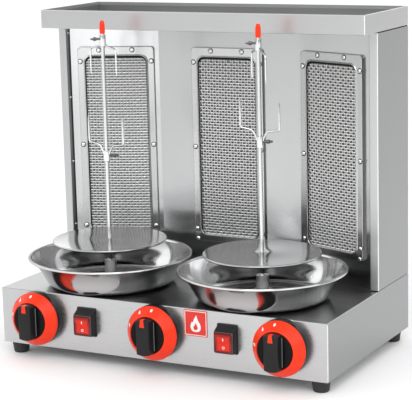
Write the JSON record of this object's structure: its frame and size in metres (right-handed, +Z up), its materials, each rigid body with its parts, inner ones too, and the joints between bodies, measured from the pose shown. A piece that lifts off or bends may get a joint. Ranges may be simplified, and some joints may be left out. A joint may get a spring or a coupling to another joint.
{
  "type": "vertical rotisserie broiler",
  "caption": "Tabletop gas doner broiler: upright turning spits with forks and drip pans before a folded wall of infrared burners, knobs and switches in the base, open tray on top.",
  "frame": {"origin": "on the table, under the middle of the bounding box", "axes": "+X to the right as the user faces the control panel, +Y from the panel to the back, +Z up"},
  "size_m": [0.63, 0.448, 0.599],
  "materials": {
    "panel_steel": "satin stainless sheet",
    "wall_steel": "bright stainless sheet, faintly mirrored",
    "polished_steel": "mirror-polished stainless",
    "rod_steel": "bright drawn steel wire and bar",
    "mesh_steel": "woven stainless wire screen",
    "ceramic": null,
    "inner_steel": "plain pressed steel, hidden",
    "motor_case": "dark plated gearmotor case",
    "gear_steel": "machined steel",
    "brass": "turned brass",
    "pipe_metal": "bare drawn tube",
    "rubber": "black moulded rubber",
    "black_plastic": "black moulded plastic, half gloss",
    "orange_plastic": "orange-red heat-proof plastic",
    "red_plastic": "red translucent plastic",
    "badge_red": "red label with a white border and a plain flame",
    "cable": "insulated wire"
  },
  "bodies": {
    "casing": {"base_shell": "panel_steel", "base_bottom": "panel_steel", "rear_panel": "panel_steel", "rubber_feet": "rubber", "cabinet_side_left": "panel_steel", "cabinet_side_right": "panel_steel", "reflector_wall": "wall_steel", "warming_tray": "panel_steel", "burner_frames": "wall_steel", "burner_meshes": "mesh_steel", "ceramic_tiles": "ceramic", "burner_boxes": "inner_steel", "mixing_tubes": "inner_steel", "gas_injectors": "brass", "panel_screws": "rod_steel", "gas_manifold": "pipe_metal", "gas_inlet": "brass", "gas_taps": "brass", "gas_pipes": "pipe_metal", "dial_bases": "black_plastic", "dial_rings": "orange_plastic", "switch_housings": "black_plastic", "badge_plate": "badge_red", "gearmotor_cases": "motor_case", "hub_bushes": "brass", "cable_gland": "black_plastic", "wiring_loom": "cable"},
    "drive_left": {"drive_hub_left": "polished_steel", "output_gear_left": "gear_steel"},
    "rotor_left": {"motor_rotor_left": "gear_steel"},
    "spit_left": {"spit_rod_left": "rod_steel", "meat_plate_left": "polished_steel", "spit_cap_left": "orange_plastic"},
    "pan_left": {"drip_pan_left": "polished_steel"},
    "drive_right": {"drive_hub_right": "polished_steel", "output_gear_right": "gear_steel"},
    "rotor_right": {"motor_rotor_right": "gear_steel"},
    "spit_right": {"spit_rod_right": "rod_steel", "meat_plate_right": "polished_steel", "spit_cap_right": "orange_plastic"},
    "pan_right": {"drip_pan_right": "polished_steel"},
    "fork_upper_left": {"fork_upper_left": "rod_steel"},
    "screw_upper_left": {"thumbscrew_upper_left": "rod_steel"},
    "fork_upper_right": {"fork_upper_right": "rod_steel"},
    "screw_upper_right": {"thumbscrew_upper_right": "rod_steel"},
    "fork_lower_left": {"fork_lower_left": "rod_steel"},
    "screw_lower_left": {"thumbscrew_lower_left": "rod_steel"},
    "fork_lower_right": {"fork_lower_right": "rod_steel"},
    "screw_lower_right": {"thumbscrew_lower_right": "rod_steel"},
    "plug_left": {"tap_plug_left": "brass"},
    "spindle_left": {"tap_spindle_left": "gear_steel"},
    "knob_left": {"knob_left": "black_plastic"},
    "plug_middle": {"tap_plug_middle": "brass"},
    "spindle_middle": {"tap_spindle_middle": "gear_steel"},
    "knob_middle": {"knob_middle": "black_plastic"},
    "plug_right": {"tap_plug_right": "brass"},
    "spindle_right": {"tap_spindle_right": "gear_steel"},
    "knob_right": {"knob_right": "black_plastic"},
    "rocker_left": {"rocker_left": "red_plastic"},
    "rocker_right": {"rocker_right": "red_plastic"}
  },
  "joints": [
    {"name": "turn_left", "type": "hinge", "parent": "casing", "child": "drive_left", "pos_m": [-0.15, -0.069, 0.121], "axis": [0, 0, 1], "continuous": true},
    {"name": "motor_left", "type": "hinge", "parent": "casing", "child": "rotor_left", "pos_m": [-0.15, -0.0465, 0.082], "axis": [0, 0, 1], "continuous": true},
    {"name": "lift_spit_left", "type": "slide", "parent": "drive_left", "child": "spit_left", "axis": [0, 0, 1], "range_m": [0, 0.06]},
    {"name": "lift_pan_left", "type": "slide", "parent": "casing", "child": "pan_left", "axis": [0, 0, 1], "range_m": [0, 0.05]},
    {"name": "turn_right", "type": "hinge", "parent": "casing", "child": "drive_right", "pos_m": [0.15, -0.069, 0.121], "axis": [0, 0, 1], "continuous": true},
    {"name": "motor_right", "type": "hinge", "parent": "casing", "child": "rotor_right", "pos_m": [0.15, -0.0465, 0.082], "axis": [0, 0, 1], "continuous": true},
    {"name": "lift_spit_right", "type": "slide", "parent": "drive_right", "child": "spit_right", "axis": [0, 0, 1], "range_m": [0, 0.06]},
    {"name": "lift_pan_right", "type": "slide", "parent": "casing", "child": "pan_right", "axis": [0, 0, 1], "range_m": [0, 0.05]},
    {"name": "slide_fork_upper_left", "type": "slide", "parent": "spit_left", "child": "fork_upper_left", "axis": [0, 0, 1], "range_m": [-0.06, 0]},
    {"name": "screw_upper_left", "type": "hinge", "parent": "fork_upper_left", "child": "screw_upper_left", "pos_m": [-0.15, -0.069, 0.556], "axis": [-0.8572, -0.515, 0], "range_deg": [0, 360]},
    {"name": "slide_fork_upper_right", "type": "slide", "parent": "spit_right", "child": "fork_upper_right", "axis": [0, 0, 1], "range_m": [-0.06, 0]},
    {"name": "screw_upper_right", "type": "hinge", "parent": "fork_upper_right", "child": "screw_upper_right", "pos_m": [0.15, -0.069, 0.556], "axis": [-0.8988, -0.4384, 0], "range_deg": [0, 360]},
    {"name": "slide_fork_lower_left", "type": "slide", "parent": "spit_left", "child": "fork_lower_left", "axis": [0, 0, 1], "range_m": [-0.13, 0]},
    {"name": "screw_lower_left", "type": "hinge", "parent": "fork_lower_left", "child": "screw_lower_left", "pos_m": [-0.15, -0.069, 0.351], "axis": [0.8572, 0.515, 0], "range_deg": [0, 360]},
    {"name": "slide_fork_lower_right", "type": "slide", "parent": "spit_right", "child": "fork_lower_right", "axis": [0, 0, 1], "range_m": [-0.13, 0]},
    {"name": "screw_lower_right", "type": "hinge", "parent": "fork_lower_right", "child": "screw_lower_right", "pos_m": [0.15, -0.069, 0.391], "axis": [0.8988, 0.4384, 0], "range_deg": [0, 360]},
    {"name": "push_knob_left", "type": "slide", "parent": "casing", "child": "spindle_left", "axis": [0, 1, 0], "range_m": [0, 0.004], "stiffness_N_per_m": 800, "springref_m": -0.003},
    {"name": "turn_knob_left", "type": "hinge", "parent": "spindle_left", "child": "knob_left", "pos_m": [-0.236, -0.204, 0.075], "axis": [0, -1, 0], "range_deg": [0, 90]},
    {"name": "turn_plug_left", "type": "hinge", "parent": "casing", "child": "plug_left", "pos_m": [-0.236, -0.147, 0.075], "axis": [0, -1, 0], "range_deg": [0, 90]},
    {"name": "push_knob_middle", "type": "slide", "parent": "casing", "child": "spindle_middle", "axis": [0, 1, 0], "range_m": [0, 0.004], "stiffness_N_per_m": 800, "springref_m": -0.003},
    {"name": "turn_knob_middle", "type": "hinge", "parent": "spindle_middle", "child": "knob_middle", "pos_m": [0, -0.204, 0.075], "axis": [0, -1, 0], "range_deg": [0, 90]},
    {"name": "turn_plug_middle", "type": "hinge", "parent": "casing", "child": "plug_middle", "pos_m": [0, -0.147, 0.075], "axis": [0, -1, 0], "range_deg": [0, 90]},
    {"name": "push_knob_right", "type": "slide", "parent": "casing", "child": "spindle_right", "axis": [0, 1, 0], "range_m": [0, 0.004], "stiffness_N_per_m": 800, "springref_m": -0.003},
    {"name": "turn_knob_right", "type": "hinge", "parent": "spindle_right", "child": "knob_right", "pos_m": [0.236, -0.204, 0.075], "axis": [0, -1, 0], "range_deg": [0, 90]},
    {"name": "turn_plug_right", "type": "hinge", "parent": "casing", "child": "plug_right", "pos_m": [0.236, -0.147, 0.075], "axis": [0, -1, 0], "range_deg": [0, 90]},
    {"name": "press_rocker_left", "type": "hinge", "parent": "casing", "child": "rocker_left", "pos_m": [-0.138, -0.182, 0.0733], "axis": [-1, 0, 0], "range_deg": [0, 14]},
    {"name": "press_rocker_right", "type": "hinge", "parent": "casing", "child": "rocker_right", "pos_m": [0.135, -0.182, 0.0733], "axis": [-1, 0, 0], "range_deg": [0, 14]}
  ],
  "couplings": [
    {"joint": "motor_left", "follows": "turn_left", "ratio": -2.3333},
    {"joint": "motor_right", "follows": "turn_right", "ratio": -2.3333},
    {"joint": "turn_plug_left", "follows": "turn_knob_left", "ratio": 1},
    {"joint": "turn_plug_middle", "follows": "turn_knob_middle", "ratio": 1},
    {"joint": "turn_plug_right", "follows": "turn_knob_right", "ratio": 1}
  ]
}
